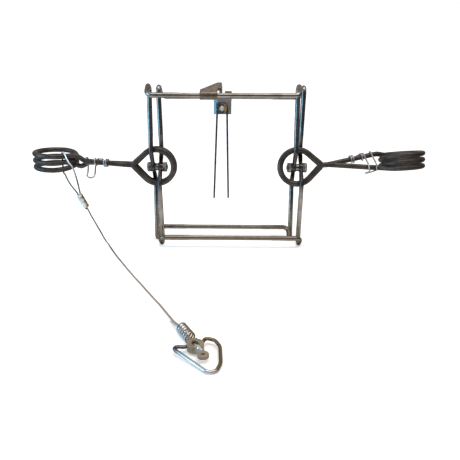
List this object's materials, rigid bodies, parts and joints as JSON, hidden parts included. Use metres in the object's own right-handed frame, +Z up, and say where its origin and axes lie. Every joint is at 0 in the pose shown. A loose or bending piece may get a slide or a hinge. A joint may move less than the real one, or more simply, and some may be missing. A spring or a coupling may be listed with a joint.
{
  "type": "body-gripping trap",
  "caption": "Body-gripping trap with square hinged wire jaws, twin torsion coil springs, safety catches, wire trigger and an anchor cable with swivel and end ring.",
  "frame": {"origin": "on the floor below the middle of the standing trap, cable left out", "axes": "+X to the right spring, +Y away from the viewer, +Z up"},
  "size_m": [0.7011, 0.4617, 0.2862],
  "materials": {
    "jaw_steel": "bare drawn steel rod, lightly browned",
    "spring_steel": "black oxide spring wire, satin",
    "zinc_steel": "bright zinc plate",
    "sheet_steel": "bare pressed sheet",
    "trigger_wire": "dark drawn wire",
    "wire_rope": "stranded galvanised wire",
    "ferrule_alloy": "pressed sleeve",
    "cast_swivel": "dull cast metal with a warm tone",
    "galvanised_ring": "galvanised wire"
  },
  "bodies": {
    "base": {"left_pivot_bolt": "zinc_steel", "right_pivot_bolt": "zinc_steel", "left_pivot_nut": "zinc_steel", "right_pivot_nut": "zinc_steel", "left_head_washer": "zinc_steel", "right_head_washer": "zinc_steel", "left_nut_washer": "zinc_steel", "right_nut_washer": "zinc_steel", "left_spacer": "zinc_steel", "right_spacer": "zinc_steel", "left_spring_coil": "spring_steel", "right_spring": "spring_steel", "cable_loop": "wire_rope", "loop_ferrule": "ferrule_alloy", "cable_run": "wire_rope", "cable_tail": "wire_rope", "end_sleeve": "zinc_steel", "shock_spring": "zinc_steel", "cable_stop": "zinc_steel"},
    "front_jaw": {"front_jaw": "jaw_steel"},
    "rear_jaw": {"rear_jaw": "jaw_steel"},
    "left_front_leg": {"left_front_leg": "spring_steel"},
    "left_rear_leg": {"left_rear_leg": "spring_steel"},
    "left_catch": {"left_catch": "zinc_steel"},
    "right_catch": {"right_catch": "zinc_steel"},
    "dog": {"dog": "sheet_steel"},
    "trigger": {"trigger_plate": "sheet_steel", "trigger_wire": "trigger_wire", "trigger_washer": "zinc_steel", "trigger_nut": "zinc_steel", "trigger_bolt": "zinc_steel"},
    "swivel": {"swivel_body": "cast_swivel"},
    "end_ring": {"end_ring": "galvanised_ring"}
  },
  "joints": [
    {"name": "jaw_close", "type": "hinge", "parent": "base", "child": "front_jaw", "pos_m": [0, 0, 0.14175], "axis": [1, 0, 0], "range_deg": [0, 69]},
    {"name": "rear_jaw_close", "type": "hinge", "parent": "base", "child": "rear_jaw", "pos_m": [0, 0, 0.14175], "axis": [1, 0, 0], "range_deg": [-69, 0]},
    {"name": "left_front_leg_open", "type": "hinge", "parent": "base", "child": "left_front_leg", "pos_m": [-0.31113, 0.00645, 0.15263], "axis": [0.0494, -0.0802, 0.9956], "range_deg": [-12, 0], "deforming": ["left_spring_coil", "cable_loop"]},
    {"name": "left_rear_leg_open", "type": "hinge", "parent": "base", "child": "left_rear_leg", "pos_m": [-0.31113, 0.00645, 0.15263], "axis": [0.0494, -0.0802, 0.9956], "range_deg": [0, 12]},
    {"name": "left_catch_swing", "type": "hinge", "parent": "left_front_leg", "child": "left_catch", "pos_m": [-0.25095, -0.00455, 0.15159], "axis": [0.9957, 0.0247, -0.0888], "range_deg": [-165, 20]},
    {"name": "right_catch_swing", "type": "hinge", "parent": "base", "child": "right_catch", "pos_m": [0.25841, 0.00547, 0.16435], "axis": [-0.9754, -0.0336, -0.2178], "range_deg": [0, 110]},
    {"name": "dog_lift", "type": "hinge", "parent": "front_jaw", "child": "dog", "pos_m": [0, -0.03725, 0.26425], "axis": [1, 0, 0], "range_deg": [0, 84]},
    {"name": "trigger_tilt", "type": "hinge", "parent": "rear_jaw", "child": "trigger", "pos_m": [0, 0.03725, 0.26425], "axis": [1, 0, 0], "range_deg": [-25, 25]},
    {"name": "swivel_spin", "type": "hinge", "parent": "base", "child": "swivel", "pos_m": [-0.0283, -0.37583, 0.0062], "axis": [0.4809, -0.8768, 0], "continuous": true},
    {"name": "ring_fold", "type": "hinge", "parent": "swivel", "child": "end_ring", "pos_m": [-0.03023, -0.37232, 0.0062], "axis": [0.8768, 0.4809, 0], "range_deg": [-110, 110]}
  ],
  "couplings": [
    {"joint": "rear_jaw_close", "follows": "jaw_close", "ratio": -1},
    {"joint": "left_front_leg_open", "follows": "jaw_close", "ratio": -0.17},
    {"joint": "left_rear_leg_open", "follows": "jaw_close", "ratio": 0.17},
    {"joint": "dog_lift", "follows": "jaw_close", "ratio": 1.2}
  ]
}
